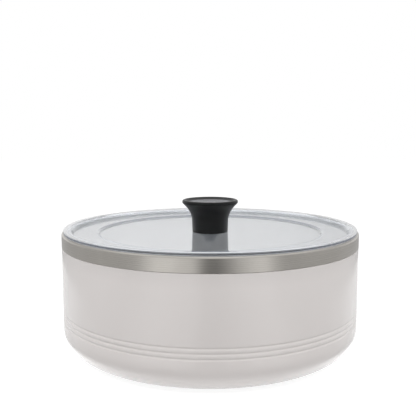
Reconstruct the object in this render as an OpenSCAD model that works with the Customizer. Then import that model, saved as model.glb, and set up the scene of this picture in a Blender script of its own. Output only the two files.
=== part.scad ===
// Insulated steel bowl with a clear lid, in millimetres.
// The foot stands on z = 0 and the axis of the bowl is z.
// Every piece but the knob's ribs and the screw's recess is a turned outline.

/* [Bowl] */
// Outside diameter at the rim band
bowl_d = 250; // [230:1:290]
// Height from the foot to the crest of the rim
bowl_h = 100.6; // [88:0.1:130]
// Radius where the side starts to turn under
corner_r = 20.8; // [16:0.2:26]
// Radius of the flatter curve that runs on to the foot
crown_r = 60; // [50:1:75]
// Degrees that the side turns through before the flatter curve
corner_angle = 77; // [60:1:84]
// Width of the ring that the bowl stands on
foot_w = 15; // [8:1:30]
// Depth of the hollow inside the foot ring
foot_hollow = 1.3; // [1.2:0.1:2.5]

/* [Walls] */
// Thickness of the coated outer sheet
shell_t = 0.8; // [0.6:0.1:1.1]
// Thickness of the inner sheet
liner_t = 0.7; // [0.5:0.1:1]
// Space for insulation between the two walls
wall_gap = 4; // [3.5:0.1:8]
// Space for insulation under the inner floor
floor_gap = 7.5; // [5:0.5:12]
// Radius inside the bowl between its wall and its floor
liner_corner_r = 25; // [20:1:32]

/* [Rim] */
// Height of the bare band, measured down from the crest
band_h = 11.5; // [8:0.1:16]
// Thickness of the band's sheet
band_t = 0.6; // [0.4:0.1:0.8]
// Radius of the band's shoulder
rim_round = 1.8; // [1.7:0.1:2.8]
// Radius that the inner sheet turns out through at the mouth
mouth_round = 1.5; // [1.2:0.1:1.8]
// How far the coated side stays inside the band
body_inset = 0.1; // [0.05:0.05:0.4]
// Height of the fine step that the band's lower edge covers
neck_step = 0.5; // [0.4:0.1:1]

/* [Grooves] */
// Number of rolled grooves
groove_count = 3; // [1:1:5]
// Distance from groove to groove
groove_pitch = 3.9; // [3.2:0.1:6]
// Width of one groove
groove_w = 2.8; // [1.6:0.1:3]
// Depth of one groove
groove_depth = 0.5; // [0.2:0.05:0.8]
// Height of the lowest groove above the start of the corner
groove_lead = 6.5; // [3:0.1:20]

/* [Lid] */
// How far the lid's edge stays inside the band
lid_setback = 1.4; // [1:0.1:3]
// Thickness of the clear lid
lid_t = 2.4; // [1.6:0.1:3]
// Free play between the lid's step and the bowl's wall
lid_play = 0.4; // [0.3:0.1:2]
// Height of the outer step that drops into the mouth
plug_h = 3.8; // [2.4:0.1:8]
// Sideways run of the outer step
plug_run = 2.6; // [1:0.1:4]
// Width of the flat ring between the two steps
ring_w = 20.4; // [10:0.2:40]
// Height of the inner step
panel_h = 1.6; // [1.2:0.1:4]
// Sideways run of the inner step
panel_run = 1.5; // [1.2:0.1:3]
// Inside radius of the lid's bends
lid_bend = 0.6; // [0.3:0.1:1]
// Radius along the lid's upper edge
lid_edge_round = 0.9; // [0.3:0.1:1]
// Radius along the lid's lower edge
lid_foot_round = 0.5; // [0.2:0.1:0.6]

/* [Knob] */
// Height of the knob above the lid
knob_h = 27.7; // [25:0.1:34]
// Diameter of the knob at its rim
knob_d = 47.6; // [47:0.2:56]
// Diameter of the neck where the flare starts
neck_d = 31.5; // [28:0.1:34]
// Diameter at the foot of the knob
knob_foot_d = 30.4; // [27:0.1:34]
// Degrees that the flare leans out
flare_angle = 45; // [38:1:50]
// Radius of the hollow curve of the flare
flare_r = 19; // [10:0.5:22]
// Radius of the rolled rim
lip_round = 1.5; // [1:0.1:1.8]
// Diameter of the dish in the knob's top
dish_d = 43; // [36:0.2:43.4]
// Depth of the dish at its middle
dish_depth = 2.5; // [2.2:0.1:3.5]
// Thickness left between the dish and the hollow inside
knob_top_t = 6; // [4:0.5:9]
// Wall of the knob's skirt
knob_wall = 2.8; // [2:0.1:4]
// Diameter of the post that holds the insert
boss_d = 13; // [11:0.5:16]
// Number of ribs between the post and the skirt
rib_count = 6; // [3:1:8]
// Thickness of a rib
rib_t = 1.6; // [1:0.1:2.5]

/* [Fastening] */
// Thread diameter of the screw
screw_d = 5; // [4:0.5:6]
// Length of the screw under its head
screw_len = 16; // [14:0.5:18]
// Diameter of the screw's pan head
head_d = 9.5; // [8:0.1:12]
// Height of the screw's head
head_h = 3.6; // [3:0.1:4.5]
// Diameter of the steel washer
washer_d = 12; // [10:0.5:14]
// Thickness of the steel washer
washer_t = 1; // [0.8:0.1:1.6]
// Diameter of the sealing washer where it meets the lid
seal_d = 18; // [15:0.5:24]
// Diameter of the sealing washer at its lower end
seal_tip_d = 13.4; // [12:0.2:15]
// Height of the sealing washer
seal_h = 3; // [1.5:0.1:4]
// Outside diameter of the threaded insert
insert_d = 8; // [7:0.1:9.5]
// Length of the insert
insert_h = 10; // [7:0.5:12]
// Diameter of the hole that the foam is poured through
fill_d = 10; // [6:0.5:16]
// Diameter of the head of the plug in that hole
plug_head_d = 18; // [17:0.5:26]

/* [Hidden] */

// Steps in a full turn, in a wide curve, in a small rounding and in one groove
turn_steps = 180;
wide_steps = 16;
small_steps = 6;
groove_steps = 10;

// Play on the radius between sheets at the rim, and past a sheet's cut edge
band_play = 0.05;
edge_play = 0.1;
// Play on the radius round the screw: in the insert, the washers and the lid
screw_play = 0.05;
washer_hole_play = 0.2;
hole_play = 0.4;
// The foot's hollow and the plug inside it
hollow_slope = 45;
plug_head_t = 0.9;
plug_stem_h = 3;
plug_round = 0.4;
stem_play = 0.1;
// The insert, how far it stays inside the knob's foot, and the free hole above it
insert_sink = 0.3;
insert_groove_w = 1.6;
insert_groove_depth = 0.5;
screw_room = 1;
pocket_play = 0.5;
// The screw's tip, head and cross recess
screw_chamfer = 0.6;
head_round = 1.6;
recess_w = 1.3;
recess_span = 5.4;
recess_depth = 2.1;
// The knob's foot, the straight part of its rim, the side of its dish and the gate mark
knob_foot_round = 0.5;
lip_flat = 0.5;
dish_round = 0.7;
dish_floor_round = 3;
dish_drop = 2;
dish_run = 3;
gate_d = 1.4;
gate_depth = 0.3;
// How far a cutting shape runs past the face that it cuts
overrun = 1;

// The bowl's outer skin
rim_r = bowl_d / 2;
body_r = rim_r - body_inset;
foot_r = body_r - corner_r - (crown_r - corner_r) * cos(corner_angle);
corner_z = crown_r - (crown_r - corner_r) * sin(corner_angle);
hollow_r = foot_r - foot_w;
band_low = bowl_h - band_h;
neck_r = rim_r - band_t - band_play;
shoulder_r = rim_r - rim_round;
neck_round = neck_r - shoulder_r;

// The bowl's inner skin and the pile of three sheets at the rim
liner_r = body_r - shell_t - wall_gap - liner_t;
floor_z = shell_t + floor_gap + liner_t;
lip_z = bowl_h - band_t;
shell_lip_z = lip_z - liner_t;
neck_corner_z = shell_lip_z - neck_round;
mouth_r = liner_r + mouth_round;
foam_top = min(neck_corner_z, lip_z - mouth_round);

// The lid, whose flat edge rests on the crest of the rim
lid_r = rim_r - lid_setback;
lid_top = bowl_h + lid_t;
ring_top = lid_top - plug_h;
panel_top = ring_top - panel_h;
panel_low = panel_top - lid_t;
plug_mitre = mitre(plug_h, plug_run, lid_t);
panel_mitre = mitre(panel_h, panel_run, lid_t);
plug_top_r = liner_r - lid_play - plug_mitre;
ring_r = plug_top_r - plug_run - ring_w;
hole_r = screw_d / 2 + hole_play;

// The knob stands on the middle of the lid
knob_r = knob_d / 2;
lip_low = knob_h - lip_round - lip_flat - lip_round * tan(flare_angle / 2);
neck_h = lip_low - (knob_r - neck_d / 2) / tan(flare_angle);
cavity_h = knob_h - dish_depth - knob_top_t;
cavity_r = knob_foot_d / 2 - knob_wall;
pocket_top = max(screw_len - seal_h - washer_t - lid_t, insert_sink + insert_h) + screw_room;

// The pile under the lid: sealing washer, steel washer, screw head
washer_top = panel_low - seal_h;
head_top = washer_top - washer_t;
screw_tip = head_top + screw_len;
thread_r = screw_d / 2 - screw_play;

// Points of an arc about c, from angle a to angle b
function arc(c, r, a, b, steps) =
    [for (i = [0 : steps]) let (t = a + (b - a) * i / steps) c + r * [cos(t), sin(t)]];

function reversed(points) = [for (i = [len(points) - 1 : -1 : 0]) points[i]];

// Sideways shift of the underside of a sloping step, so that the sheet keeps its thickness
function mitre(rise, run, t) = t * (norm([rise, run]) - run) / rise;

// Signed turn from angle a to angle b, the short way round
function turn_between(a, b) = let (d = b - a) d > 180 ? d - 360 : d < -180 ? d + 360 : d;

// A corner v between the points p and q, rounded to radius r where its two sides allow it
function rounded_corner(p, v, q, r) =
    let (to_p = (p - v) / norm(p - v),
         to_q = (q - v) / norm(q - v),
         half = acos(to_p * to_q) / 2,
         reach = min(r / tan(half), norm(p - v), norm(q - v)),
         fitted = reach * tan(half),
         c = v + (to_p + to_q) / norm(to_p + to_q) * fitted / sin(half),
         from = v + to_p * reach - c,
         to = v + to_q * reach - c,
         start = atan2(from.y, from.x))
    arc(c, fitted, start, start + turn_between(start, atan2(to.y, to.x)), small_steps);

// An outline whose points are [x, y, radius]
function rounded(corners) =
    let (n = len(corners), at = [for (c = corners) [c.x, c.y]])
    [for (i = [0 : n - 1])
        each (corners[i][2] > 0
            ? rounded_corner(at[(i + n - 1) % n], at[i], at[(i + 1) % n], corners[i][2])
            : [at[i]])];

// How deep the rolled grooves are at height share s of one groove, from 0 to 1
function groove_in(s) = groove_depth * (1 - cos(360 * s)) / 2;

// Height of the middle of groove i
function groove_z(i) = corner_z + groove_lead + i * groove_pitch;

// The outer wall's skin at depth d in the sheet, from the foot's middle up to the neck
function shell_lower(d) =
    concat(
        [[0, foot_hollow + d],
         [hollow_r - foot_hollow / tan(hollow_slope) + d * tan(hollow_slope / 2), foot_hollow + d],
         [hollow_r + d * tan(hollow_slope / 2), d]],
        arc([foot_r, crown_r], crown_r - d, -90, -corner_angle, wide_steps),
        arc([body_r - corner_r, corner_z], corner_r - d, -corner_angle, 0, wide_steps),
        [for (i = [0 : groove_count - 1], k = [0 : groove_steps])
            let (s = k / groove_steps)
            [body_r - d - groove_in(s), groove_z(i) + s * groove_w - groove_w / 2]],
        [[body_r - d, band_low - neck_step],
         [neck_r - d, band_low]]);

function shell_skin(d) =
    concat(
        shell_lower(d),
        arc([shoulder_r, neck_corner_z], neck_round - d, 0, 90, small_steps),
        [[mouth_r + edge_play, shell_lip_z - d]]);

// The inner bowl's skin at depth d in the sheet, from the middle of its floor up the wall
function liner_lower(d) =
    concat(
        [[0, floor_z - d]],
        arc([liner_r - liner_corner_r, floor_z + liner_corner_r], liner_corner_r + d, -90, 0, wide_steps));

function liner_skin(d) =
    concat(
        liner_lower(d),
        arc([mouth_r, lip_z - mouth_round], mouth_round - d, 180, 90, small_steps),
        [[shoulder_r - edge_play, lip_z - d]]);

module turned(points) rotate_extrude($fn = turn_steps) polygon(points);

module rod(r, low, high) translate([0, 0, low]) cylinder(r = r, h = high - low, $fn = turn_steps);

// Deep drawn outer wall, with the filling hole through its foot
module outer_shell() color("gainsboro") {
    difference() {
        turned(concat(shell_skin(0), reversed(shell_skin(shell_t))));
        rod(fill_d / 2, -overrun, foot_hollow + shell_t + overrun);
    }
}

// Bare steel bowl with its lip turned outwards
module inner_bowl() color("silver") {
    turned(concat(liner_skin(0), reversed(liner_skin(liner_t))));
}

// Hoop over the edges of both walls
module rim_band() color("darkgray") {
    shoulder = [shoulder_r, bowl_h - rim_round];
    turned(concat(
        [[rim_r, band_low]],
        arc(shoulder, rim_round, 0, 90, small_steps),
        [[mouth_r + edge_play, bowl_h],
         [mouth_r + edge_play, lip_z]],
        arc(shoulder, rim_round - band_t, 90, 0, small_steps),
        [[rim_r - band_t, band_low]]));
}

// Rigid foam that fills the space between the walls
module foam_insulation() color("khaki") {
    difference() {
        turned(concat(
            shell_lower(shell_t),
            [[neck_r - shell_t, foam_top],
             [liner_r + liner_t, foam_top]],
            reversed(liner_lower(liner_t))));
        rod(fill_d / 2, foot_hollow, foot_hollow + plug_stem_h + stem_play);
    }
}

// Plug pressed into the filling hole, its head inside the foot's hollow
module fill_plug() color("dimgray") {
    turned(rounded([
        [0, foot_hollow - plug_head_t, 0],
        [plug_head_d / 2, foot_hollow - plug_head_t, plug_round],
        [plug_head_d / 2, foot_hollow, 0],
        [fill_d / 2 - stem_play, foot_hollow, 0],
        [fill_d / 2 - stem_play, foot_hollow + plug_stem_h, plug_round],
        [0, foot_hollow + plug_stem_h, 0]]));
}

// Clear lid, one sheet thick all over, stepped down twice towards the middle
module lid_panel() color("lightsteelblue", 0.5) {
    outer_bend = lid_bend + lid_t;
    plug_low_r = plug_top_r - plug_run;
    panel_r = ring_r - panel_run;
    turned(rounded([
        [hole_r, panel_top, 0],
        [panel_r, panel_top, lid_bend],
        [ring_r, ring_top, outer_bend],
        [plug_low_r, ring_top, lid_bend],
        [plug_top_r, lid_top, outer_bend],
        [lid_r, lid_top, lid_edge_round],
        [lid_r, bowl_h, lid_foot_round],
        [plug_top_r + plug_mitre, bowl_h, lid_bend],
        [plug_low_r + plug_mitre, ring_top - lid_t, outer_bend],
        [ring_r + panel_mitre, ring_top - lid_t, lid_bend],
        [panel_r + panel_mitre, panel_low, outer_bend],
        [hole_r, panel_low, 0]]));
}

// The knob's outline, from its foot over the rim to the middle of the dish
function knob_outline() =
    let (dish_r = dish_d / 2,
         floor_r = dish_r - dish_run,
         sag = dish_depth - dish_drop,
         ball_r = (floor_r * floor_r + sag * sag) / (2 * sag),
         ball_z = knob_h - dish_depth + ball_r)
    rounded(concat(
        [[0, 0, 0],
         [knob_foot_d / 2, 0, knob_foot_round],
         [neck_d / 2, neck_h, flare_r],
         [knob_r, lip_low, lip_round],
         [knob_r, knob_h, lip_round],
         [dish_r, knob_h, dish_round],
         [floor_r, knob_h - dish_drop, dish_floor_round]],
        [for (i = [wide_steps - 1 : -1 : 0])
            let (x = floor_r * i / wide_steps)
            [x, ball_z - sqrt(ball_r * ball_r - x * x), 0]]));

// The space between the knob's post and skirt, parted by ribs
module knob_hollow() {
    difference() {
        rod(cavity_r, -overrun, cavity_h);
        rod(boss_d / 2, -2 * overrun, cavity_h + overrun);
        for (i = [0 : rib_count - 1])
            rotate([0, 0, i * 360 / rib_count])
                translate([0, -rib_t / 2, -2 * overrun])
                    cube([cavity_r + overrun, rib_t, cavity_h + 3 * overrun]);
    }
}

// The insert's outline above the knob's foot, with the groove that keys it into the knob
module insert_shape(bore_r) {
    r = insert_d / 2;
    low = insert_sink;
    high = insert_sink + insert_h;
    groove_low = low + (insert_h - insert_groove_w) / 2;
    turned([
        [bore_r, low],
        [r, low],
        [r, groove_low],
        [r - insert_groove_depth, groove_low + insert_groove_depth],
        [r - insert_groove_depth, groove_low + insert_groove_w - insert_groove_depth],
        [r, groove_low + insert_groove_w],
        [r, high],
        [bore_r, high]]);
}

// One-piece black knob with a rolled rim, a dished top and a small gate mark in its middle
module knob() color([0.12, 0.12, 0.13]) {
    translate([0, 0, panel_top]) difference() {
        turned(knob_outline());
        knob_hollow();
        insert_shape(0);
        rod(insert_d / 2, -overrun, insert_sink);
        rod(thread_r + pocket_play, insert_sink, pocket_top);
        translate([0, 0, knob_h - dish_depth - gate_depth])
            cylinder(r1 = 0, r2 = gate_d / 2, h = gate_depth + edge_play, $fn = turn_steps);
    }
}

module knob_insert() color("gold") {
    translate([0, 0, panel_top]) insert_shape(screw_d / 2);
}

// Pan head screw from below, with a cross recess
module knob_screw() color("lightgray") {
    difference() {
        turned(rounded([
            [0, head_top - head_h, 0],
            [head_d / 2, head_top - head_h, head_round],
            [head_d / 2, head_top, 0],
            [thread_r, head_top, 0],
            [thread_r, screw_tip - screw_chamfer, 0],
            [thread_r - screw_chamfer, screw_tip, 0],
            [0, screw_tip, 0]]));
        for (a = [0, 90])
            rotate([0, 0, a])
                translate([-recess_span / 2, -recess_w / 2, head_top - head_h - overrun])
                    cube([recess_span, recess_w, recess_depth + overrun]);
    }
}

module screw_washer() color("whitesmoke") {
    difference() {
        rod(washer_d / 2, head_top, washer_top);
        rod(thread_r + washer_hole_play, head_top - overrun, washer_top + overrun);
    }
}

// Silicone washer that narrows downwards
module sealing_washer() color("slategray") {
    bore_r = thread_r + washer_hole_play;
    turned([
        [bore_r, washer_top],
        [seal_tip_d / 2, washer_top],
        [seal_d / 2, panel_low],
        [bore_r, panel_low]]);
}

outer_shell();
inner_bowl();
rim_band();
foam_insulation();
fill_plug();
lid_panel();
knob();
knob_insert();
knob_screw();
screw_washer();
sealing_washer();
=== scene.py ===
import math

import bmesh
import bpy
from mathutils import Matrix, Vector


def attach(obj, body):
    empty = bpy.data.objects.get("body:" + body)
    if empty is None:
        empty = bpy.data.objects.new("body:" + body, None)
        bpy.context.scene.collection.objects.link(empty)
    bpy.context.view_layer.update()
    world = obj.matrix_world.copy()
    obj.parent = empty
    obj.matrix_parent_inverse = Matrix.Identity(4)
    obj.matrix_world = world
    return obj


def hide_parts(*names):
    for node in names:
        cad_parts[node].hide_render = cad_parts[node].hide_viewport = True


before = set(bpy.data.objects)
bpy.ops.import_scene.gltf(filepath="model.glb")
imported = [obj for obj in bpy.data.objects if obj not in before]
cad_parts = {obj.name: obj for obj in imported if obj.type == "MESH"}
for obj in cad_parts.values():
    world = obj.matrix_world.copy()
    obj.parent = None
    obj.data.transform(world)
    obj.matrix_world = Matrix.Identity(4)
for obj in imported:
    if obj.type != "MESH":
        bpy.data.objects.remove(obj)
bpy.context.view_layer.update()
print("frame loaded:", len(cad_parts), "nodes")

mm = 0.001  # every outline below is written in millimetres
arcStep = 7  # degrees that one edge of a rounded corner turns
weldGap = 0.002  # mm


# a half outline is drawn with the selected vertex as the pen, then turned round Z
def startOutline(name, x, z):
    bpy.ops.object.select_all(action="DESELECT")
    bpy.ops.mesh.primitive_plane_add(size=mm)
    piece = bpy.context.object
    piece.name = piece.data.name = name
    bpy.ops.object.mode_set(mode="EDIT")
    bpy.ops.mesh.select_mode(type="VERT")
    bpy.ops.mesh.select_all(action="SELECT")
    bpy.ops.mesh.merge(type="CENTER")
    bpy.ops.transform.translate(value=(x * mm, 0, z * mm))
    return piece


def penPlace():
    verts = bmesh.from_edit_mesh(bpy.context.object.data).verts
    return next(v.co.copy() for v in verts if v.select) / mm


def lineTo(x, z):
    here = penPlace()
    step = ((x - here.x) * mm, 0, (z - here.z) * mm)
    bpy.ops.mesh.extrude_region_move(TRANSFORM_OT_translate={"value": step})


def sweepRound(x, z, degrees):
    # a positive angle turns from +X towards +Z
    steps = max(3, math.ceil(abs(degrees) / arcStep))
    bpy.ops.mesh.spin(steps=steps, angle=math.radians(degrees), center=(x * mm, 0, z * mm),
                      axis=(0, 1, 0))


def traceCorners(corners):
    # each corner is (x, z, radius); the last one has radius 0
    for i, (x, z, radius) in enumerate(corners):
        if not radius:
            lineTo(x, z)
            continue
        corner = Vector((x, 0, z))
        back = (penPlace() - corner).normalized()
        onward = (Vector((corners[i + 1][0], 0, corners[i + 1][1])) - corner).normalized()
        half = back.angle(onward) / 2
        first = corner + back * radius / math.tan(half)
        middle = corner + (back + onward).normalized() * radius / math.sin(half)
        leftTurn = onward.x * back.z - onward.z * back.x > 0
        lineTo(first.x, first.z)
        sweepRound(middle.x, middle.z, math.degrees(math.pi - 2 * half) * (1 if leftTurn else -1))


def turnRound(steps):
    # the outline goes once round Z, poles and seam are welded, and faces point outwards
    bpy.ops.mesh.select_all(action="SELECT")
    bpy.ops.mesh.spin(steps=steps, angle=math.tau, center=(0, 0, 0), axis=(0, 0, 1))
    bpy.ops.mesh.select_all(action="SELECT")
    bpy.ops.mesh.remove_doubles(threshold=weldGap * mm)
    bpy.ops.mesh.normals_make_consistent(inside=False)
    bpy.ops.object.mode_set(mode="OBJECT")


def applyModifier(piece, kind, **settings):
    modifier = piece.modifiers.new(kind.title(), kind)
    for key, value in settings.items():
        setattr(modifier, key, value)
    bpy.context.view_layer.objects.active = piece
    bpy.ops.object.modifier_apply(modifier=modifier.name)


def roundEdges(piece, isWanted, width, segments=3):
    # isWanted gets the radius and height of an edge's middle, in millimetres
    bpy.context.view_layer.objects.active = piece
    bpy.ops.object.mode_set(mode="EDIT")
    bpy.ops.mesh.select_mode(type="EDGE")
    bpy.ops.mesh.select_all(action="DESELECT")
    mesh = bmesh.from_edit_mesh(piece.data)
    for edge in mesh.edges:
        ends = [v.co / mm for v in edge.verts]
        radii = [end.xy.length for end in ends]
        level = max(abs(ends[0].z - ends[1].z), abs(radii[0] - radii[1])) < 0.01
        edge.select_set(level and isWanted(radii[0], ends[0].z))
    bpy.ops.mesh.bevel(offset=width * mm, segments=segments, profile=0.5)
    bpy.ops.object.mode_set(mode="OBJECT")


def spokes(count, inner, outer, thick, low, high):
    # upright bars that stand round the axis, from the inner to the outer radius
    bpy.ops.object.select_all(action="DESELECT")
    bpy.ops.mesh.primitive_cube_add(size=mm)
    bars = bpy.context.object
    bpy.ops.object.mode_set(mode="EDIT")
    bpy.ops.mesh.select_all(action="SELECT")
    bpy.ops.transform.resize(value=(outer - inner, thick, high - low))
    bpy.ops.transform.translate(value=((outer + inner) / 2 * mm, 0, (high + low) / 2 * mm))
    bpy.ops.mesh.spin(steps=count - 1, dupli=True, angle=math.tau * (count - 1) / count,
                      center=(0, 0, 0), axis=(0, 0, 1))
    bpy.ops.object.mode_set(mode="OBJECT")
    return bars


def combine(piece, tool, operation):
    applyModifier(piece, "BOOLEAN", operation=operation, object=tool, solver="EXACT", use_self=True)
    bpy.data.objects.remove(tool)


def finishPiece(piece, material, body, slot, *nodes, sharp=35):
    bpy.ops.object.select_all(action="DESELECT")
    piece.select_set(True)
    bpy.context.view_layer.objects.active = piece
    bpy.ops.object.shade_smooth_by_angle(angle=math.radians(sharp))
    piece.data.materials.clear()
    piece.data.materials.append(material)
    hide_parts(*nodes)
    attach(piece, body)
    print("piece done:", piece.name, len(piece.data.polygons), "faces")


def hexColour(text):
    # sRGB hex to the linear colour that a shader wants
    parts = [int(text[i:i + 2], 16) / 255 for i in (1, 3, 5)]
    return (*[p / 12.92 if p <= 0.04045 else ((p + 0.055) / 1.055) ** 2.4 for p in parts], 1)


def newMaterial(name):
    material = bpy.data.materials.new(name)
    material.use_nodes = True
    material.node_tree.nodes.clear()
    return material


def addNode(owner, kind, inputs=None, **settings):
    # inputs maps a socket's name or number to a value or to another node's output
    node = owner.node_tree.nodes.new(kind)
    for key, value in settings.items():
        setattr(node, key, value)
    for socket, value in (inputs or {}).items():
        if isinstance(value, bpy.types.NodeSocket):
            owner.node_tree.links.new(value, node.inputs[socket])
        else:
            node.inputs[socket].default_value = value
    return node


coating = {
    "colour": "#d0cbc9",
    "shade": "#cac5c3",
    "cloudScale": 9.0,
    "roughness": 0.42,
    "ior": 1.5,
    "gloss": 1.0,
    "glossRoughness": 0.14,
    "peelSize": 1.6,   # mm from bump to bump, as coarse as it needs to show
    "peelDepth": 0.012,
    "peelStrength": 0.25,
    # heights in mm between which the wall is darkened towards the band by painted shade, and how far
    "shadeFrom": 78.0, "shadeTo": 89.0, "shadeTone": 0.93,
}

# stoved satin enamel sprayed on steel: pale warm grey, soft gloss, faint orange peel
satinEnamel = newMaterial("satinEnamel")
place = addNode(satinEnamel, "ShaderNodeTexCoord").outputs["Object"]
cloud = addNode(satinEnamel, "ShaderNodeTexNoise", {
    "Vector": place, "Scale": coating["cloudScale"], "Detail": 3.0})
tone = addNode(satinEnamel, "ShaderNodeMix", {
    0: cloud.outputs["Fac"], 6: hexColour(coating["shade"]), 7: hexColour(coating["colour"])},
    data_type="RGBA")
# painted shade: the wall's colour is darkened just under the band, standing in for the band's shade
height = addNode(satinEnamel, "ShaderNodeSeparateXYZ", {0: place}).outputs[2]
paintedBandShade = addNode(satinEnamel, "ShaderNodeMapRange", {
    0: height, 1: coating["shadeFrom"] * mm, 2: coating["shadeTo"] * mm, 3: 1.0, 4: coating["shadeTone"]})
shadedTone = addNode(satinEnamel, "ShaderNodeMix", {0: 1.0, 6: tone.outputs[2], 7: paintedBandShade.outputs[0]},
                     data_type="RGBA", blend_type="MULTIPLY")
peel = addNode(satinEnamel, "ShaderNodeTexNoise", {
    "Vector": place, "Scale": 1 / (coating["peelSize"] * mm), "Detail": 2.0})
peelBump = addNode(satinEnamel, "ShaderNodeBump", {
    "Height": peel.outputs["Fac"], "Strength": coating["peelStrength"],
    "Distance": coating["peelDepth"] * mm})
enamel = addNode(satinEnamel, "ShaderNodeBsdfPrincipled", {
    "Base Color": shadedTone.outputs[2], "Roughness": coating["roughness"], "IOR": coating["ior"],
    "Coat Weight": coating["gloss"], "Coat Roughness": coating["glossRoughness"],
    "Normal": peelBump.outputs["Normal"]})
addNode(satinEnamel, "ShaderNodeOutputMaterial", {"Surface": enamel.outputs[0]})

brushing = {
    "lineDepth": 0.004, "lineStrength": 0.5, "cloudScale": 25.0, "smoother": 0.05, "rougher": 0.07,
    # a quarter turn lays the long blur across the brush lines
    "blur": 0.7, "blurTurn": 0.25,
}
# lineGap is mm between brush lines; real ones are nearer 0.05 mm and wouldn't show
bandLook = {"colour": "#cac6c0", "dull": "#bab6b0", "roughness": 0.28, "lineGap": 0.35, "metallic": 1.0}
# the inside is satin blasted, so part of its light is scattered rather than mirrored
insideLook = {"colour": "#e9e7e4", "dull": "#dedcd9", "roughness": 0.5, "lineGap": 0.5, "metallic": 0.5}
screwLook = {"colour": "#e8eaec", "dull": "#dcdee0", "roughness": 0.4, "lineGap": 0.3, "metallic": 0.4}
brassLook = {"colour": "#d3b063", "dull": "#b8954d", "roughness": 0.25, "lineGap": 0.3, "metallic": 1.0}


def roundAxis(owner, point):
    # distance from the Z axis and height of a point, as two sockets
    parts = addNode(owner, "ShaderNodeSeparateXYZ", {0: point})
    flat = addNode(owner, "ShaderNodeCombineXYZ", {0: parts.outputs[0], 1: parts.outputs[1]})
    length = addNode(owner, "ShaderNodeVectorMath", {0: flat.outputs[0]}, operation="LENGTH")
    return length.outputs["Value"], parts.outputs[2]


def brushedSteel(name, look):
    # metal brushed as it turned: fine rings about the axis, soft long reflections
    material = newMaterial(name)
    point = addNode(material, "ShaderNodeTexCoord").outputs["Object"]
    radius, height = roundAxis(material, point)
    ring = addNode(material, "ShaderNodeCombineXYZ", {0: radius, 1: height})
    lines = addNode(material, "ShaderNodeTexNoise", {
        "Vector": ring.outputs[0], "Scale": 1 / (look["lineGap"] * mm), "Detail": 4.0, "Roughness": 0.7})
    clouds = addNode(material, "ShaderNodeTexNoise", {
        "Vector": point, "Scale": brushing["cloudScale"], "Detail": 3.0})
    wear = addNode(material, "ShaderNodeMath", {0: lines.outputs["Fac"], 1: clouds.outputs["Fac"]},
                   operation="MULTIPLY")
    tint = addNode(material, "ShaderNodeMapRange", {0: wear.outputs[0], 1: 0.12, 2: 0.4, 3: 0.0, 4: 1.0})
    steelTone = addNode(material, "ShaderNodeMix", {
        0: tint.outputs[0], 6: hexColour(look["dull"]), 7: hexColour(look["colour"])}, data_type="RGBA")
    rough = addNode(material, "ShaderNodeMapRange", {
        0: lines.outputs["Fac"], 1: 0.3, 2: 0.7,
        3: look["roughness"] - brushing["smoother"], 4: look["roughness"] + brushing["rougher"]})
    bump = addNode(material, "ShaderNodeBump", {
        "Height": lines.outputs["Fac"], "Strength": brushing["lineStrength"],
        "Distance": brushing["lineDepth"] * mm})
    along = addNode(material, "ShaderNodeTangent", direction_type="RADIAL", axis="Z")
    steel = addNode(material, "ShaderNodeBsdfPrincipled", {
        "Base Color": steelTone.outputs[2], "Metallic": look["metallic"], "Roughness": rough.outputs[0],
        "Anisotropic": brushing["blur"], "Anisotropic Rotation": brushing["blurTurn"],
        "Tangent": along.outputs[0], "Normal": bump.outputs[0]})
    addNode(material, "ShaderNodeOutputMaterial", {"Surface": steel.outputs[0]})
    return material


bandSteel = brushedSteel("brushedBandSteel", bandLook)
bowlSteel = brushedSteel("satinBowlSteel", insideLook)
screwSteel = brushedSteel("zincPlatedSteel", screwLook)

lidPlastic = {
    "clear": "#f3f6fa", "ior": 1.57, "flowScale": 22.0, "flowStrength": 0.1, "flowDepth": 0.004,
    "hazeLow": 0.02, "hazeHigh": 0.05, "passing": "#f2f4f6", "deep": "#dfe4ee", "deepDensity": 16.0,
    # a ray that has bent or bounced more often than this counts as caught in the sheet, where the sheet
    # gives off a painted glow
    "longRun": 4.5, "paintedSheetGlow": "#b4b6ba",
}
lidPaintedShade = {
    "from": 122.6, "radius": 123.2, "paintedShadowLine": 101.65, "lineReach": 0.85, "lineCore": 0.1,
    "shade": "#3c3e47",
    # middle and half width in mm of the two bent rings, and how far they take on the painted shade
    "rings": ((115.6, 1.3, 0.42), (93.8, 1.2, 0.3)), "ringCore": 0.2,
}

# injection moulded styrene acrylonitrile: clear with a faint cool cast, and a slightly drawn surface
clearLid = newMaterial("clearStyrene")
place = addNode(clearLid, "ShaderNodeTexCoord").outputs["Object"]
flow = addNode(clearLid, "ShaderNodeTexNoise", {
    "Vector": place, "Scale": lidPlastic["flowScale"], "Detail": 2.0})
flowBump = addNode(clearLid, "ShaderNodeBump", {
    "Height": flow.outputs["Fac"], "Strength": lidPlastic["flowStrength"],
    "Distance": lidPlastic["flowDepth"] * mm})
haze = addNode(clearLid, "ShaderNodeMapRange", {
    0: flow.outputs["Fac"], 1: 0.3, 2: 0.7, 3: lidPlastic["hazeLow"], 4: lidPlastic["hazeHigh"]})
# painted shade: the lower part of the outer edge is darkened into a dark line, standing in for the shade
# of the steel rim
radius, height = roundAxis(clearLid, place)
atEdge = addNode(clearLid, "ShaderNodeMapRange", {
    0: radius, 1: lidPaintedShade["from"] * mm, 2: lidPaintedShade["radius"] * mm})
offLine = addNode(clearLid, "ShaderNodeMath", {0: height, 1: lidPaintedShade["paintedShadowLine"] * mm},
                  operation="SUBTRACT")
apart = addNode(clearLid, "ShaderNodeMath", {0: offLine.outputs[0]}, operation="ABSOLUTE")
nearLine = addNode(clearLid, "ShaderNodeMapRange", {
    0: apart.outputs[0], 1: lidPaintedShade["lineReach"] * mm, 2: lidPaintedShade["lineCore"] * mm},
    interpolation_type="SMOOTHSTEP")
shaded = addNode(clearLid, "ShaderNodeMath", {0: atEdge.outputs[0], 1: nearLine.outputs[0]},
                 operation="MULTIPLY")
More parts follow.
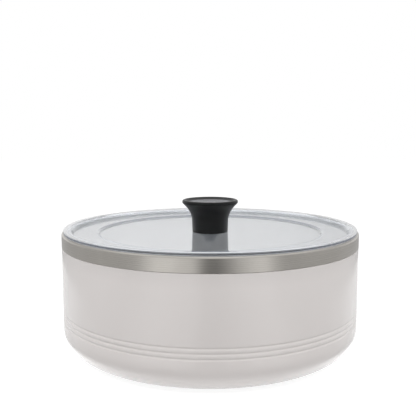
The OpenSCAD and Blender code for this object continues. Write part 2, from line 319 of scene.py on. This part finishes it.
# painted shade: the foot of each step is darkened into a grey ring, standing in for light bent away there
for middle, halfWidth, amount in lidPaintedShade["rings"]:
    offRing = addNode(clearLid, "ShaderNodeMath", {0: radius, 1: middle * mm}, operation="SUBTRACT")
    apart = addNode(clearLid, "ShaderNodeMath", {0: offRing.outputs[0]}, operation="ABSOLUTE")
    ring = addNode(clearLid, "ShaderNodeMapRange", {
        0: apart.outputs[0], 1: halfWidth * mm, 2: lidPaintedShade["ringCore"] * mm, 4: amount},
        interpolation_type="SMOOTHSTEP")
    shaded = addNode(clearLid, "ShaderNodeMath", {0: shaded.outputs[0], 1: ring.outputs[0]},
                     operation="MAXIMUM")
# the painted shade of the edge line and the step rings darkens the clear colour
lidTone = addNode(clearLid, "ShaderNodeMix", {
    0: shaded.outputs[0], 6: hexColour(lidPlastic["clear"]), 7: hexColour(lidPaintedShade["shade"])},
    data_type="RGBA")
lidShader = addNode(clearLid, "ShaderNodeBsdfPrincipled", {
    "Base Color": lidTone.outputs[2], "Roughness": haze.outputs[0], "IOR": lidPlastic["ior"],
    "Transmission Weight": 1.0, "Normal": flowBump.outputs[0]})
# shadow and scattered rays pass straight through, so that the lamps reach the inside of the bowl
lidRays = addNode(clearLid, "ShaderNodeLightPath")
passing = addNode(clearLid, "ShaderNodeMath", {
    0: lidRays.outputs["Is Shadow Ray"], 1: lidRays.outputs["Is Diffuse Ray"]}, operation="MAXIMUM")
lidPass = addNode(clearLid, "ShaderNodeBsdfTransparent", {"Color": hexColour(lidPlastic["passing"])})
# painted glow: a ray that has run on long inside the sheet finds it giving off a pale blue-grey light,
# which stands in for light let out of its bends and edges
longRun = addNode(clearLid, "ShaderNodeMath", {
    0: lidRays.outputs["Ray Depth"], 1: lidPlastic["longRun"]}, operation="GREATER_THAN")
paintedSheetGlow = addNode(clearLid, "ShaderNodeEmission", {
    "Color": hexColour(lidPlastic["paintedSheetGlow"]), "Strength": 1.0})
lidBody = addNode(clearLid, "ShaderNodeMixShader", {
    0: longRun.outputs[0], 1: lidShader.outputs[0], 2: paintedSheetGlow.outputs[0]})
lidMix = addNode(clearLid, "ShaderNodeMixShader", {
    0: passing.outputs[0], 1: lidBody.outputs[0], 2: lidPass.outputs[0]})
# the long way through the sheet, as seen in its edge, comes out blue-grey
lidDepth = addNode(clearLid, "ShaderNodeVolumeAbsorption", {
    "Color": hexColour(lidPlastic["deep"]), "Density": lidPlastic["deepDensity"]})
addNode(clearLid, "ShaderNodeOutputMaterial", {
    "Surface": lidMix.outputs[0], "Volume": lidDepth.outputs[0]})

# grain is mm from speck to speck, depth is mm of bump
knobLook = {
    "colour": "#060606", "fleck": "#0a0a0b", "grain": 0.5, "depth": 0.005, "roughness": 0.36, "ior": 1.37,
    # the floor of the dish, within a radius and above a height in mm, is finely textured, and its lighter
    # grey is a painted reflection of the bright room
    "dishMattAndSheen": {"radius": 18.6, "height": 121.5, "blend": 0.3, "roughness": 0.24, "colour": "#6c6c70"},
}
plugLook = {"colour": "#717274", "fleck": "#7b7c7e", "grain": 0.8, "depth": 0.01,
            "roughness": 0.5, "ior": 1.5}
sealLook = {"colour": "#e2e4e6", "fleck": "#eaecee", "grain": 0.6, "depth": 0.01,
            "roughness": 0.5, "ior": 1.5}
foamLook = {"colour": "#e0d09c", "fleck": "#f0e4bd", "grain": 1.2, "depth": 0.3,
            "roughness": 0.9, "ior": 1.5}


def mouldedPlastic(name, look):
    # moulded in an eroded tool: even colour with a fine dull grain
    material = newMaterial(name)
    point = addNode(material, "ShaderNodeTexCoord").outputs["Object"]
    grit = addNode(material, "ShaderNodeTexNoise", {
        "Vector": point, "Scale": 1 / (look["grain"] * mm), "Detail": 3.0})
    colourMix = addNode(material, "ShaderNodeMix", {
        0: grit.outputs["Fac"], 6: hexColour(look["colour"]), 7: hexColour(look["fleck"])},
        data_type="RGBA")
    rough = addNode(material, "ShaderNodeMapRange", {
        0: grit.outputs["Fac"], 1: 0.3, 2: 0.7, 3: look["roughness"] - 0.04, 4: look["roughness"] + 0.06})
    dullness, tone = rough.outputs[0], colourMix.outputs[2]
    dishMattAndSheen = look.get("dishMattAndSheen")
    if dishMattAndSheen:
        radius, height = roundAxis(material, point)
        within = addNode(material, "ShaderNodeMapRange", {
            0: radius, 1: (dishMattAndSheen["radius"] + dishMattAndSheen["blend"]) * mm,
            2: (dishMattAndSheen["radius"] - dishMattAndSheen["blend"]) * mm})
        above = addNode(material, "ShaderNodeMath", {0: height, 1: dishMattAndSheen["height"] * mm},
                        operation="GREATER_THAN")
        matt = addNode(material, "ShaderNodeMath", {0: within.outputs[0], 1: above.outputs[0]},
                       operation="MULTIPLY")
        dullness = addNode(material, "ShaderNodeMix", {
            0: matt.outputs[0], 2: dullness, 3: dishMattAndSheen["roughness"]}).outputs[0]
        # painted reflection: the dish floor takes a lighter grey
        tone = addNode(material, "ShaderNodeMix", {
            0: matt.outputs[0], 6: tone, 7: hexColour(dishMattAndSheen["colour"])}, data_type="RGBA").outputs[2]
    bump = addNode(material, "ShaderNodeBump", {
        "Height": grit.outputs["Fac"], "Strength": 0.3, "Distance": look["depth"] * mm})
    shader = addNode(material, "ShaderNodeBsdfPrincipled", {
        "Base Color": tone, "Roughness": dullness, "IOR": look["ior"], "Normal": bump.outputs[0]})
    addNode(material, "ShaderNodeOutputMaterial", {"Surface": shader.outputs[0]})
    return material


knobPlastic = mouldedPlastic("blackPhenolic", knobLook)
plugPlastic = mouldedPlastic("greyPolythene", plugLook)
siliconeRubber = mouldedPlastic("paleSilicone", sealLook)
pouredFoam = mouldedPlastic("pouredFoam", foamLook)
insertBrass = brushedSteel("turnedBrass", brassLook)
print("materials made")

outerWall = {
    "sheet": 0.8, "fillHole": 5.0, "hollow": 1.3, "footWidth": 15.0, "footRound": 0.6,
    "sideRadius": 124.9, "cornerRadius": 20.8, "crownRadius": 60.0, "cornerTurn": 77.0,
    "grooves": 3, "groovePitch": 3.9, "grooveWidth": 2.8, "grooveDepth": 0.5, "grooveLead": 6.5,
    "bandLow": 89.1, "neckStep": 0.5, "neckBend": 0.3, "neckRadius": 124.35, "neckRound": 1.15,
    "lipRadius": 121.0, "lipHeight": 99.3, "turnSteps": 192, "grooveSteps": 12,
}

w = outerWall
lean = math.radians(w["cornerTurn"])
footRadius = w["sideRadius"] - w["cornerRadius"] - (w["crownRadius"] - w["cornerRadius"]) * math.cos(lean)
cornerHeight = w["crownRadius"] - (w["crownRadius"] - w["cornerRadius"]) * math.sin(lean)
ringInside = footRadius - w["footWidth"]

wall = startOutline("outerWall", w["fillHole"], w["hollow"])
traceCorners([(ringInside - w["hollow"], w["hollow"], w["footRound"]), (ringInside, 0, w["footRound"]),
              (footRadius, 0, 0)])
sweepRound(footRadius, w["crownRadius"], 90 - w["cornerTurn"])
sweepRound(w["sideRadius"] - w["cornerRadius"], cornerHeight, w["cornerTurn"])
for groove in range(w["grooves"]):
    middle = cornerHeight + w["grooveLead"] + groove * w["groovePitch"]
    for step in range(w["grooveSteps"] + 1):
        share = step / w["grooveSteps"]
        lineTo(w["sideRadius"] - w["grooveDepth"] * (1 - math.cos(math.tau * share)) / 2,
               middle + (share - 0.5) * w["grooveWidth"])
traceCorners([(w["sideRadius"], w["bandLow"] - w["neckStep"], w["neckBend"]),
              (w["neckRadius"], w["bandLow"], 0), (w["neckRadius"], w["lipHeight"], w["neckRound"]),
              (w["lipRadius"], w["lipHeight"], 0)])
turnRound(w["turnSteps"])
applyModifier(wall, "SOLIDIFY", thickness=w["sheet"] * mm, offset=-1, use_even_offset=True)
finishPiece(wall, satinEnamel, "bowl", "coated_steel", "outer_shell")

innerBowl = {"sheet": 0.7, "radius": 119.4, "floor": 9.0, "cornerRadius": 25.0, "mouthRound": 1.5,
             "lipHeight": 100.0, "lipRadius": 123.1, "turnSteps": 192}

b = innerBowl
bowl = startOutline("innerBowl", 0, b["floor"])
traceCorners([(b["radius"], b["floor"], b["cornerRadius"]),
              (b["radius"], b["lipHeight"], b["mouthRound"]), (b["lipRadius"], b["lipHeight"], 0)])
turnRound(b["turnSteps"])
applyModifier(bowl, "SOLIDIFY", thickness=b["sheet"] * mm, offset=1, use_even_offset=True)
finishPiece(bowl, bowlSteel, "bowl", "inner_steel", "inner_bowl")

rimHoop = {"sheet": 0.6, "radius": 125.0, "low": 89.1, "crest": 100.6, "shoulder": 1.8, "inside": 121.0,
           "turnSteps": 192}

h = rimHoop
hoop = startOutline("rimHoop", h["radius"], h["low"])
traceCorners([(h["radius"], h["crest"], h["shoulder"]), (h["inside"], h["crest"], 0)])
turnRound(h["turnSteps"])
applyModifier(hoop, "SOLIDIFY", thickness=h["sheet"] * mm, offset=-1, use_even_offset=True)
finishPiece(hoop, bandSteel, "bowl", "band_steel", "rim_band")

lidPanel = {
    "thick": 2.35, "hole": 2.9, "top": 103.0, "ringTop": 99.2, "panelTop": 97.6,
    "edge": 123.6, "plugTop": 117.734, "plugLow": 115.134, "ringIn": 94.734, "panelEdge": 93.234,
    "innerBend": 0.6, "edgeRound": 0.9, "footRound": 0.5, "near": 0.1, "turnSteps": 192,
}

p = lidPanel
outerBend = p["innerBend"] + p["thick"]
panel = startOutline("clearLid", p["hole"], p["panelTop"])
traceCorners([(p["panelEdge"], p["panelTop"], p["innerBend"]), (p["ringIn"], p["ringTop"], outerBend),
              (p["plugLow"], p["ringTop"], p["innerBend"]), (p["plugTop"], p["top"], outerBend),
              (p["edge"], p["top"], 0)])
turnRound(p["turnSteps"])
applyModifier(panel, "SOLIDIFY", thickness=p["thick"] * mm, offset=-1, use_even_offset=True)
roundEdges(panel, lambda r, z: r > p["edge"] - p["near"] and z > p["top"] - p["near"],
           p["edgeRound"], 5)
roundEdges(panel, lambda r, z: r > p["edge"] - p["near"] and z < p["top"] - p["thick"] + p["near"],
           p["footRound"], 4)
finishPiece(panel, clearLid, "lid", "clear_plastic", "lid_panel")

knobShape = {
    "base": 97.63, "foot": 15.2, "footRound": 0.5, "neck": 15.75, "neckHeight": 17.0, "flare": 19.0,
    "rim": 23.8, "rimLow": 25.05, "rimRound": 1.5, "height": 27.67, "dish": 21.5, "dishRound": 0.7,
    "dishFloor": 18.5, "dishDrop": 2.0, "dishDepth": 2.5, "gateRadius": 0.7, "gateDepth": 0.25,
    "skirt": 2.8, "post": 6.5, "hollowHeight": 19.2, "hollowRound": 0.5,
    "insert": 4.0, "insertTop": 10.3, "bore": 2.95, "boreTop": 11.3,
    "ribs": 6, "ribThick": 1.6, "ribLow": 0.3, "ribOverlap": 1.0, "turnSteps": 144,
}

k = knobShape
sag = k["dishDepth"] - k["dishDrop"]
ball = (k["dishFloor"] ** 2 + sag ** 2) / (2 * sag)
ballHeight = k["base"] + k["height"] - k["dishDepth"] + ball
knob = startOutline("knob", 0, k["base"] + k["boreTop"])
traceCorners([(x, k["base"] + z, r) for x, z, r in [
    (k["bore"], k["boreTop"], 0), (k["bore"], k["insertTop"], 0), (k["insert"], k["insertTop"], 0),
    (k["insert"], 0, 0), (k["post"], 0, 0), (k["post"], k["hollowHeight"], k["hollowRound"]),
    (k["foot"] - k["skirt"], k["hollowHeight"], k["hollowRound"]), (k["foot"] - k["skirt"], 0, 0),
    (k["foot"], 0, k["footRound"]), (k["neck"], k["neckHeight"], k["flare"]),
    (k["rim"], k["rimLow"], k["rimRound"]), (k["rim"], k["height"], k["rimRound"]),
    (k["dish"], k["height"], k["dishRound"]), (k["dishFloor"], k["height"] - k["dishDrop"], 0)]])
sweepRound(0, ballHeight,
           math.degrees(math.asin(k["gateRadius"] / ball) - math.asin(k["dishFloor"] / ball)))
lineTo(0, k["base"] + k["height"] - k["dishDepth"] - k["gateDepth"])
turnRound(k["turnSteps"])

ribs = spokes(k["ribs"], k["post"] - k["ribOverlap"], k["foot"] - k["skirt"] / 2, k["ribThick"],
              k["base"] + k["ribLow"], k["base"] + k["hollowHeight"] + k["ribOverlap"])
combine(knob, ribs, "UNION")
finishPiece(knob, knobPlastic, "lid", "black_plastic", "knob", sharp=32)

screwShape = {"headLow": 87.6, "headTop": 91.2, "head": 4.75, "headRound": 1.6, "headEdge": 0.2,
              "shank": 2.45, "tip": 107.2, "chamfer": 0.6, "recessWide": 1.3, "recessLong": 5.4,
              "recessDeep": 2.1, "overcut": 1.0, "turnSteps": 64}

s = screwShape
screw = startOutline("panScrew", 0, s["headLow"])
traceCorners([(s["head"], s["headLow"], s["headRound"]), (s["head"], s["headTop"], s["headEdge"]),
              (s["shank"], s["headTop"], 0), (s["shank"], s["tip"] - s["chamfer"], 0),
              (s["shank"] - s["chamfer"], s["tip"], 0), (0, s["tip"], 0)])
turnRound(s["turnSteps"])
recess = spokes(4, 0, s["recessLong"] / 2, s["recessWide"], s["headLow"] - s["overcut"],
                s["headLow"] + s["recessDeep"])
combine(screw, recess, "DIFFERENCE")
finishPiece(screw, screwSteel, "lid", "screw_steel", "knob_screw")

washerShape = {"low": 91.2, "top": 92.2, "bore": 2.65, "outside": 6.0, "edge": 0.12, "turnSteps": 96}

a = washerShape
washer = startOutline("steelWasher", a["bore"], a["low"] + a["edge"])
traceCorners([(a["bore"], a["top"], a["edge"]), (a["outside"], a["top"], a["edge"]),
              (a["outside"], a["low"], a["edge"]), (a["bore"], a["low"], a["edge"]),
              (a["bore"], a["low"] + a["edge"], 0)])
turnRound(a["turnSteps"])
finishPiece(washer, screwSteel, "lid", "screw_steel", "screw_washer")

sealShape = {"low": 92.2, "top": 95.2, "bore": 2.65, "tip": 6.7, "outside": 9.0, "edge": 0.25,
             "seam": 1.0, "turnSteps": 96}

c = sealShape
seal = startOutline("coneSeal", c["bore"], c["low"] + c["seam"])
traceCorners([(c["bore"], c["top"], c["edge"]), (c["outside"], c["top"], c["edge"]),
              (c["tip"], c["low"], c["edge"]), (c["bore"], c["low"], c["edge"]),
              (c["bore"], c["low"] + c["seam"], 0)])
turnRound(c["turnSteps"])
finishPiece(seal, siliconeRubber, "lid", "silicone", "sealing_washer")

plugShape = {"low": 0.4, "headTop": 1.3, "head": 9.0, "headEdge": 0.1, "stem": 4.9, "top": 4.3,
             "edge": 0.4, "turnSteps": 96}

g = plugShape
plug = startOutline("fillPlug", 0, g["low"])
traceCorners([(g["head"], g["low"], g["edge"]), (g["head"], g["headTop"], g["headEdge"]),
              (g["stem"], g["headTop"], 0),
              (g["stem"], g["top"], g["edge"]), (0, g["top"], 0)])
turnRound(g["turnSteps"])
finishPiece(plug, plugPlastic, "bowl", "plug_plastic", "fill_plug")

for nodeName, material in (("foam_insulation", pouredFoam), ("knob_insert", insertBrass)):
    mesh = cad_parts[nodeName].data
    mesh.materials.clear()
    mesh.materials.append(material)
print("carried-over nodes dressed")

studio = {
    "floorSize": 6.0, "floorColour": "#f2f2f2", "floorShade": "#7d7d7d", "worldLevel": 0.17,
    # the floor glows more with distance, in metres, to make up for the lamps that fade there
    "floorGlow": 0.91, "farGlow": 0.98, "glowFrom": 0.4, "glowTo": 1.2,
    # how bright the room looks in reflections, by degrees from the camera's side, right side positive
    "wallTones": (
        (-180, 0.99), (-165, 0.97), (-130, 1.0), (-98, 0.76), (-81, 0.65), (-63, 0.52), (-52, 0.6),
        (-46, 0.87), (-36, 1.15), (-27, 1.13), (-20, 0.92), (-13, 0.96), (-8, 0.66), (-5, 0.24),
        (4, 0.2), (9, 0.34), (14, 0.5), (23, 0.83), (32, 0.98), (41, 1.07), (46, 0.74), (54, 0.5),
        (81, 0.63), (98, 0.79), (130, 1.0), (160, 0.8), (170, 0.84), (180, 0.99)),
    "floorTones": (
        (-180, 0.46), (-152, 0.53), (-122, 0.49), (-88, 0.53), (-72, 0.62), (-54, 0.54), (-46, 0.6),
        (-40, 0.89), (-32, 1.13), (-24, 1.08), (-18, 0.9), (-11, 0.95), (-7, 0.6), (-4, 0.22),
        (4, 0.19), (8, 0.32), (12, 0.47), (20, 0.77), (28, 0.94), (36, 1.04), (41, 0.7),
        (48, 0.55), (72, 0.56), (122, 0.5), (152, 0.51), (180, 0.44)),
    # metres: near a point behind the bowl the floor mirrors in the pool's tones, further off in its own
    "poolBack": 0.165, "poolNear": 0.30, "poolFar": 0.365,
    "poolTones": (
        (-180, 0.92), (-95, 0.9), (-62, 0.6), (-26, 0.25), (26, 0.25), (62, 0.6), (95, 0.9), (180, 0.92)),
    # painted light and shade on the paper under the bowl's round corner, seen only in reflections, by
    # metres from the axis
    "paintedUnderLight": (
        (0.1, 0.3), (0.108, 0.6), (0.1128, 1.05), (0.1165, 1.2), (0.1245, 1.65), (0.131, 1.0),
        (0.138, 0.3)),
    "ceilingTone": 0.64, "overheadTone": 1.02,
    # upward share of a direction where the wall gives way to the ceiling, and the ceiling to its middle
    "wallTop": (0.12, 0.32), "ceilingTop": (0.45, 0.75),
}


def toneRamp(owner, factor, stops):
    # greys by a factor from 0 to 1, where the first and the last stop stand
    shades = addNode(owner, "ShaderNodeValToRGB", {0: factor})
    ramp = shades.color_ramp
    for i, (place, tone) in enumerate(stops):
        if i == 0:
            stop = ramp.elements[0]
        elif place == 1:
            stop = ramp.elements[-1]
        else:
            stop = ramp.elements.new(place)
        stop.position = place
        stop.color = (tone, tone, tone, 1)
    return shades.outputs["Color"]


def roomTone(owner, direction, tones):
    parts = addNode(owner, "ShaderNodeSeparateXYZ", {0: direction})
    toCamera = addNode(owner, "ShaderNodeMath", {0: parts.outputs[1], 1: -1.0}, operation="MULTIPLY")
    turned = addNode(owner, "ShaderNodeCombineXYZ", {0: toCamera.outputs[0], 1: parts.outputs[0]})
    angle = addNode(owner, "ShaderNodeTexGradient", {0: turned.outputs[0]}, gradient_type="RADIAL")
    stops = [(degrees / 360 + 0.5, tone) for degrees, tone in tones]
    return toneRamp(owner, angle.outputs["Fac"], stops)


def higher(owner, first, second):
    return addNode(owner, "ShaderNodeMath", {0: first, 1: second}, operation="MAXIMUM").outputs[0]


bpy.ops.object.select_all(action="DESELECT")
bpy.ops.mesh.primitive_plane_add(size=studio["floorSize"], location=(0, 0, 0))
floor = bpy.context.object
floor.name = "studioFloor"
paper = newMaterial("whitePaper")
rays = addNode(paper, "ShaderNodeLightPath")
spot = addNode(paper, "ShaderNodeTexCoord").outputs["Object"]
reach = addNode(paper, "ShaderNodeVectorMath", {0: spot, 1: (0, studio["poolBack"], 0)},
                operation="DISTANCE")
fade = addNode(paper, "ShaderNodeMapRange", {
    0: reach.outputs["Value"], 1: studio["poolNear"], 2: studio["poolFar"]},
    interpolation_type="SMOOTHSTEP")
fromAxis = roundAxis(paper, spot)[0]
first, last = studio["paintedUnderLight"][0][0], studio["paintedUnderLight"][-1][0]
outwards = addNode(paper, "ShaderNodeMapRange", {0: fromAxis, 1: first, 2: last})
# painted light: brighter and darker rings on the paper under the bowl, mirrored by its round corner
under = toneRamp(paper, outwards.outputs[0],
                 [((distance - first) / (last - first), tone) for distance, tone in studio["paintedUnderLight"]])
pool = addNode(paper, "ShaderNodeMix", {0: 1.0, 6: under, 7: roomTone(paper, spot, studio["poolTones"])},
               data_type="RGBA", blend_type="LIGHTEN")
floorTone = addNode(paper, "ShaderNodeMix", {
    0: fade.outputs[0], 6: pool.outputs[2], 7: roomTone(paper, spot, studio["floorTones"])},
    data_type="RGBA")
plainWhite = addNode(paper, "ShaderNodeBsdfDiffuse", {"Color": hexColour(studio["floorColour"])})
shadowSide = addNode(paper, "ShaderNodeBsdfDiffuse", {"Color": hexColour(studio["floorShade"])})
glow = addNode(paper, "ShaderNodeMapRange", {
    0: reach.outputs["Value"], 1: studio["glowFrom"], 2: studio["glowTo"],
    3: studio["floorGlow"], 4: studio["farGlow"]})
whiteGlow = addNode(paper, "ShaderNodeEmission", {"Color": (1, 1, 1, 1), "Strength": glow.outputs[0]})
seen = addNode(paper, "ShaderNodeAddShader", {0: shadowSide.outputs[0], 1: whiteGlow.outputs[0]})
mirrored = addNode(paper, "ShaderNodeEmission", {"Color": floorTone.outputs[2], "Strength": 1.0})
straight = higher(paper, rays.outputs["Is Camera Ray"], rays.outputs["Is Transmission Ray"])
byGlossy = addNode(paper, "ShaderNodeMixShader", {
    0: rays.outputs["Is Glossy Ray"], 1: plainWhite.outputs[0], 2: mirrored.outputs[0]})
bySight = addNode(paper, "ShaderNodeMixShader", {0: straight, 1: byGlossy.outputs[0], 2: seen.outputs[0]})
addNode(paper, "ShaderNodeOutputMaterial", {"Surface": bySight.outputs[0]})
floor.data.materials.append(paper)

world = bpy.data.worlds.new("softStudio")
world.use_nodes = True
world.node_tree.nodes.clear()
bpy.context.scene.world = world
rays = addNode(world, "ShaderNodeLightPath")
straight = higher(world, rays.outputs["Is Camera Ray"], rays.outputs["Is Transmission Ray"])
outward = addNode(world, "ShaderNodeTexCoord").outputs["Generated"]
upward = addNode(world, "ShaderNodeSeparateXYZ", {0: outward}).outputs[2]
overhead = addNode(world, "ShaderNodeMapRange", {
    0: upward, 1: studio["wallTop"][0], 2: studio["wallTop"][1]}, interpolation_type="SMOOTHSTEP")
ceiling = addNode(world, "ShaderNodeMapRange", {
    0: upward, 1: studio["ceilingTop"][0], 2: studio["ceilingTop"][1],
    3: studio["ceilingTone"], 4: studio["overheadTone"]}, interpolation_type="SMOOTHSTEP")
skyTone = addNode(world, "ShaderNodeMix", {
    0: overhead.outputs[0], 6: roomTone(world, outward, studio["wallTones"]), 7: ceiling.outputs[0]},
    data_type="RGBA").outputs[2]
plain = addNode(world, "ShaderNodeBackground", {"Color": (1, 1, 1, 1), "Strength": studio["worldLevel"]})
mirrored = addNode(world, "ShaderNodeBackground", {"Color": skyTone, "Strength": 1.0})
white = addNode(world, "ShaderNodeBackground", {"Color": (1, 1, 1, 1), "Strength": 1.0})
byGlossy = addNode(world, "ShaderNodeMixShader", {
    0: rays.outputs["Is Glossy Ray"], 1: plain.outputs[0], 2: mirrored.outputs[0]})
bySight = addNode(world, "ShaderNodeMixShader", {
    0: straight, 1: byGlossy.outputs[0], 2: white.outputs[0]})
addNode(world, "ShaderNodeOutputWorld", {"Surface": bySight.outputs[0]})

lampAim = (0, 0, 0.05)
# place, width and height in metres, power in watts
lamps = {
    "frontHigh": ((0, -0.8, 1.2), 1.2, 0.6, 12.5),
    "sideLeft": ((-1.2, -0.2, 0.9), 0.8, 0.8, 6.6),
    "sideRight": ((1.2, -0.2, 0.9), 0.8, 0.8, 6.6),
    "backLeft": ((-1.1, 0.7, 0.4), 0.7, 0.7, 4.8),
    "backRight": ((1.1, 0.7, 0.4), 0.7, 0.7, 4.6),
    "overhead": ((0, -0.2, 1.4), 1.4, 1.4, 2.0),
}


def softBox(name, place, width, height, watts):
    # a lamp that lights things but isn't mirrored in them, because the room's tones stand for that
    data = bpy.data.lights.new(name, "AREA")
    data.shape = "RECTANGLE"
    data.size, data.size_y = width, height
    data.energy = watts
    lamp = bpy.data.objects.new(name, data)
    bpy.context.scene.collection.objects.link(lamp)
    lamp.location = place
    lamp.visible_glossy = False
    lamp.rotation_euler = (Vector(lampAim) - Vector(place)).to_track_quat("-Z", "Y").to_euler()


for lampName, values in lamps.items():
    softBox(lampName, *values)
print("stage set")

viewpoint = {"place": (-0.0018, -0.560, 0.1886), "tilt": 82.81, "lens": 56.99, "sensor": 36.0,
             "clipNear": 0.01, "clipFar": 20}

cameraData = bpy.data.cameras.new("camera")
cameraData.lens = viewpoint["lens"]
cameraData.sensor_width = viewpoint["sensor"]
cameraData.clip_start, cameraData.clip_end = viewpoint["clipNear"], viewpoint["clipFar"]
camera = bpy.data.objects.new("camera", cameraData)
bpy.context.scene.collection.objects.link(camera)
camera.location = viewpoint["place"]
camera.rotation_euler = (math.radians(viewpoint["tilt"]), 0, 0)
bpy.context.scene.camera = camera
bpy.context.scene.view_settings.view_transform = "Standard"
